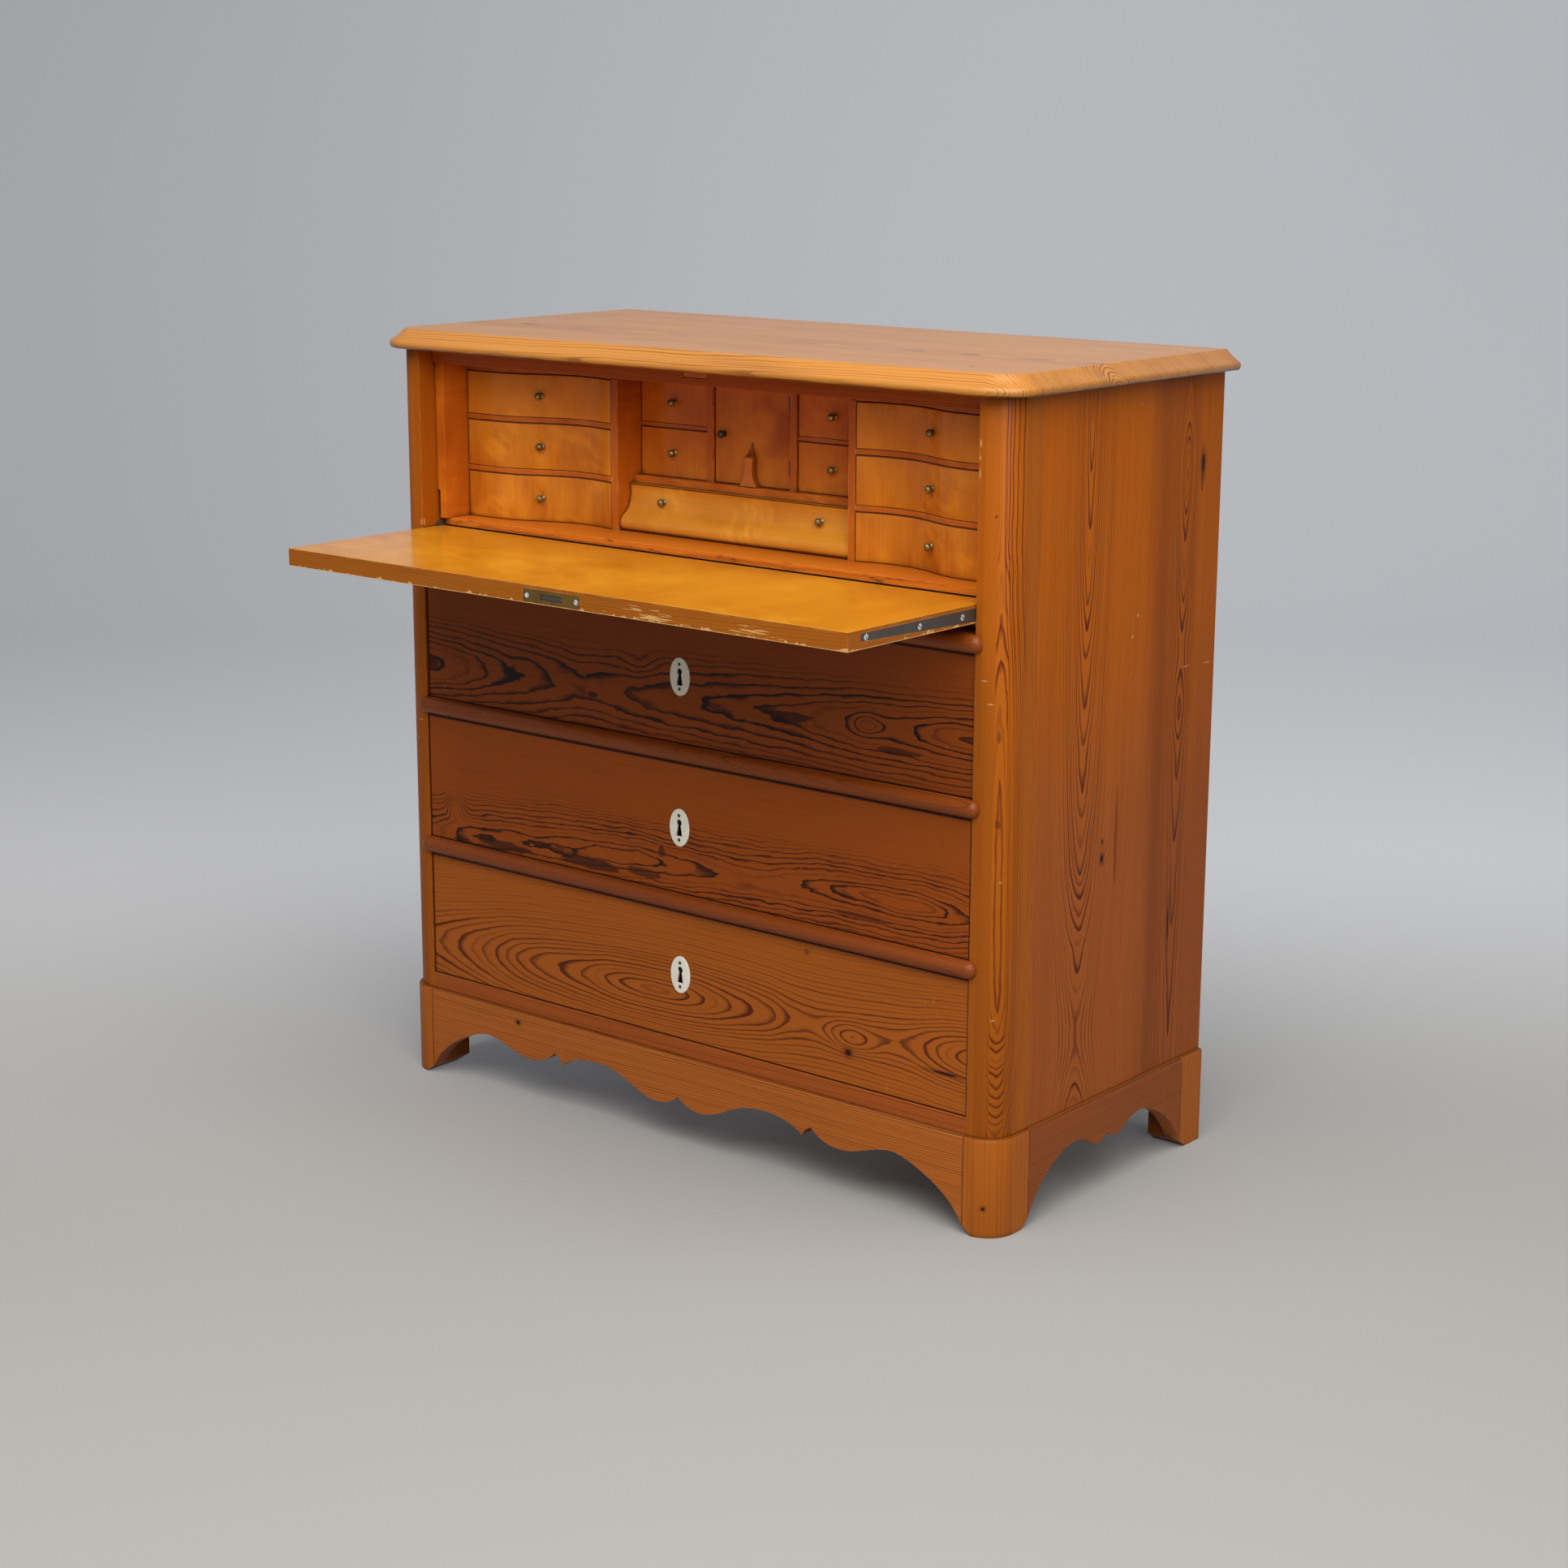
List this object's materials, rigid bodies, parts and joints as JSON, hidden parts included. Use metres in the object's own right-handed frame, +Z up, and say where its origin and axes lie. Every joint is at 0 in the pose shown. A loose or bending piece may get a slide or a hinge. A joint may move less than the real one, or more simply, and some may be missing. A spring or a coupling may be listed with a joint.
{
  "type": "writing chiffonier",
  "caption": "Pine chest on a scalloped plinth with long drawers below and a fall flap that opens on a fitted writing interior of small drawers and a little door.",
  "frame": {"origin": "middle of the floor under the whole piece as it stands with its flap open: halfway across its width, and halfway from the flap's free edge to the back", "axes": "+X to the right of someone facing the drawers, +Y from front to back, +Z up"},
  "size_m": [1.002, 0.6692, 0.993],
  "materials": {
    "pine_case": "amber lacquered pine with a satin sheen",
    "pine_front": "dark red-brown lacquered pine with a strong flat-sawn figure",
    "pine_floor": "red pine, lacquered and worn",
    "plain_pine": "bare planed pine, darkened with age",
    "birch": "golden birch veneer, polished",
    "iron": "bare wrought iron, dull grey",
    "old_brass": "aged brass, brown in the hollows and bright on the rounds",
    "bone": "polished white bone"
  },
  "bodies": {
    "carcass": {"top_board": "pine_case", "corner_posts": "pine_case", "side_boards": "pine_case", "back_boards": "plain_pine", "plinth_aprons": "pine_case", "plinth_corner_blocks": "pine_case", "drawer_rails": "pine_case", "rail_nosings": "pine_case", "drawer_runners": "plain_pine", "top_rail": "pine_case", "interior_floor": "pine_floor", "interior_linings": "birch", "interior_partitions": "birch", "fixed_hinge_irons": "iron"},
    "flap": {"flap_board": "pine_front", "flap_veneer": "birch", "flap_straps": "iron", "flap_lock": "old_brass", "flap_keyhole_plate": "bone"},
    "flap_lock_bolt": {"flap_bolt": "iron"},
    "long_drawer_bottom": {"drawer_bottom_front": "pine_front", "drawer_bottom_box": "plain_pine", "drawer_bottom_keyhole_plate": "bone", "drawer_bottom_lock": "iron"},
    "long_drawer_bottom_bolt": {"drawer_bottom_bolt": "iron"},
    "long_drawer_middle": {"drawer_middle_front": "pine_front", "drawer_middle_box": "plain_pine", "drawer_middle_keyhole_plate": "bone", "drawer_middle_lock": "iron"},
    "long_drawer_middle_bolt": {"drawer_middle_bolt": "iron"},
    "long_drawer_top": {"drawer_top_front": "pine_front", "drawer_top_box": "plain_pine", "drawer_top_keyhole_plate": "bone", "drawer_top_lock": "iron"},
    "long_drawer_top_bolt": {"drawer_top_bolt": "iron"},
    "small_drawer_right_lower": {"drawer_right_lower": "birch", "knob_right_lower": "old_brass"},
    "small_drawer_right_middle": {"drawer_right_middle": "birch", "knob_right_middle": "old_brass"},
    "small_drawer_right_upper": {"drawer_right_upper": "birch", "knob_right_upper": "old_brass"},
    "small_drawer_left_lower": {"drawer_left_lower": "birch", "knob_left_lower": "old_brass"},
    "small_drawer_left_middle": {"drawer_left_middle": "birch", "knob_left_middle": "old_brass"},
    "small_drawer_left_upper": {"drawer_left_upper": "birch", "knob_left_upper": "old_brass"},
    "small_drawer_centre_right_lower": {"drawer_centre_right_lower": "birch", "knob_centre_right_lower": "old_brass"},
    "small_drawer_centre_right_upper": {"drawer_centre_right_upper": "birch", "knob_centre_right_upper": "old_brass"},
    "small_drawer_centre_left_lower": {"drawer_centre_left_lower": "birch", "knob_centre_left_lower": "old_brass"},
    "small_drawer_centre_left_upper": {"drawer_centre_left_upper": "birch", "knob_centre_left_upper": "old_brass"},
    "small_drawer_centre_wide": {"drawer_centre_wide": "birch", "knobs_centre_wide": "old_brass"},
    "little_door": {"door_panel": "birch", "door_fittings": "old_brass", "door_ornament": "birch"}
  },
  "joints": [
    {"name": "flap_hinge", "type": "hinge", "parent": "carcass", "child": "flap", "pos_m": [0, -0.09663, 0.729], "axis": [1, 0, 0], "range_deg": [-90, 0]},
    {"name": "flap_bolt_slide", "type": "slide", "parent": "flap", "child": "flap_lock_bolt", "axis": [0, -1, 0], "range_m": [0, 0.008]},
    {"name": "drawer_bottom_slide", "type": "slide", "parent": "carcass", "child": "long_drawer_bottom", "axis": [0, -1, 0], "range_m": [0, 0.3]},
    {"name": "drawer_bottom_bolt_slide", "type": "slide", "parent": "long_drawer_bottom", "child": "long_drawer_bottom_bolt", "axis": [0, 0, 1], "range_m": [0, 0.008]},
    {"name": "drawer_middle_slide", "type": "slide", "parent": "carcass", "child": "long_drawer_middle", "axis": [0, -1, 0], "range_m": [0, 0.3]},
    {"name": "drawer_middle_bolt_slide", "type": "slide", "parent": "long_drawer_middle", "child": "long_drawer_middle_bolt", "axis": [0, 0, 1], "range_m": [0, 0.008]},
    {"name": "drawer_top_slide", "type": "slide", "parent": "carcass", "child": "long_drawer_top", "axis": [0, -1, 0], "range_m": [0, 0.3]},
    {"name": "drawer_top_bolt_slide", "type": "slide", "parent": "long_drawer_top", "child": "long_drawer_top_bolt", "axis": [0, 0, 1], "range_m": [0, 0.008]},
    {"name": "drawer_right_lower_slide", "type": "slide", "parent": "carcass", "child": "small_drawer_right_lower", "axis": [0, -1, 0], "range_m": [0, 0.25]},
    {"name": "drawer_right_middle_slide", "type": "slide", "parent": "carcass", "child": "small_drawer_right_middle", "axis": [0, -1, 0], "range_m": [0, 0.25]},
    {"name": "drawer_right_upper_slide", "type": "slide", "parent": "carcass", "child": "small_drawer_right_upper", "axis": [0, -1, 0], "range_m": [0, 0.25]},
    {"name": "drawer_left_lower_slide", "type": "slide", "parent": "carcass", "child": "small_drawer_left_lower", "axis": [0, -1, 0], "range_m": [0, 0.25]},
    {"name": "drawer_left_middle_slide", "type": "slide", "parent": "carcass", "child": "small_drawer_left_middle", "axis": [0, -1, 0], "range_m": [0, 0.25]},
    {"name": "drawer_left_upper_slide", "type": "slide", "parent": "carcass", "child": "small_drawer_left_upper", "axis": [0, -1, 0], "range_m": [0, 0.25]},
    {"name": "drawer_centre_right_lower_slide", "type": "slide", "parent": "carcass", "child": "small_drawer_centre_right_lower", "axis": [0, -1, 0], "range_m": [0, 0.2]},
    {"name": "drawer_centre_right_upper_slide", "type": "slide", "parent": "carcass", "child": "small_drawer_centre_right_upper", "axis": [0, -1, 0], "range_m": [0, 0.2]},
    {"name": "drawer_centre_left_lower_slide", "type": "slide", "parent": "carcass", "child": "small_drawer_centre_left_lower", "axis": [0, -1, 0], "range_m": [0, 0.2]},
    {"name": "drawer_centre_left_upper_slide", "type": "slide", "parent": "carcass", "child": "small_drawer_centre_left_upper", "axis": [0, -1, 0], "range_m": [0, 0.2]},
    {"name": "drawer_centre_wide_slide", "type": "slide", "parent": "carcass", "child": "small_drawer_centre_wide", "axis": [0, -1, 0], "range_m": [0, 0.23]},
    {"name": "little_door_hinge", "type": "hinge", "parent": "carcass", "child": "little_door", "pos_m": [0.0607, 0.03103, 0.878], "axis": [0, 0, 1], "range_deg": [0, 90]}
  ]
}
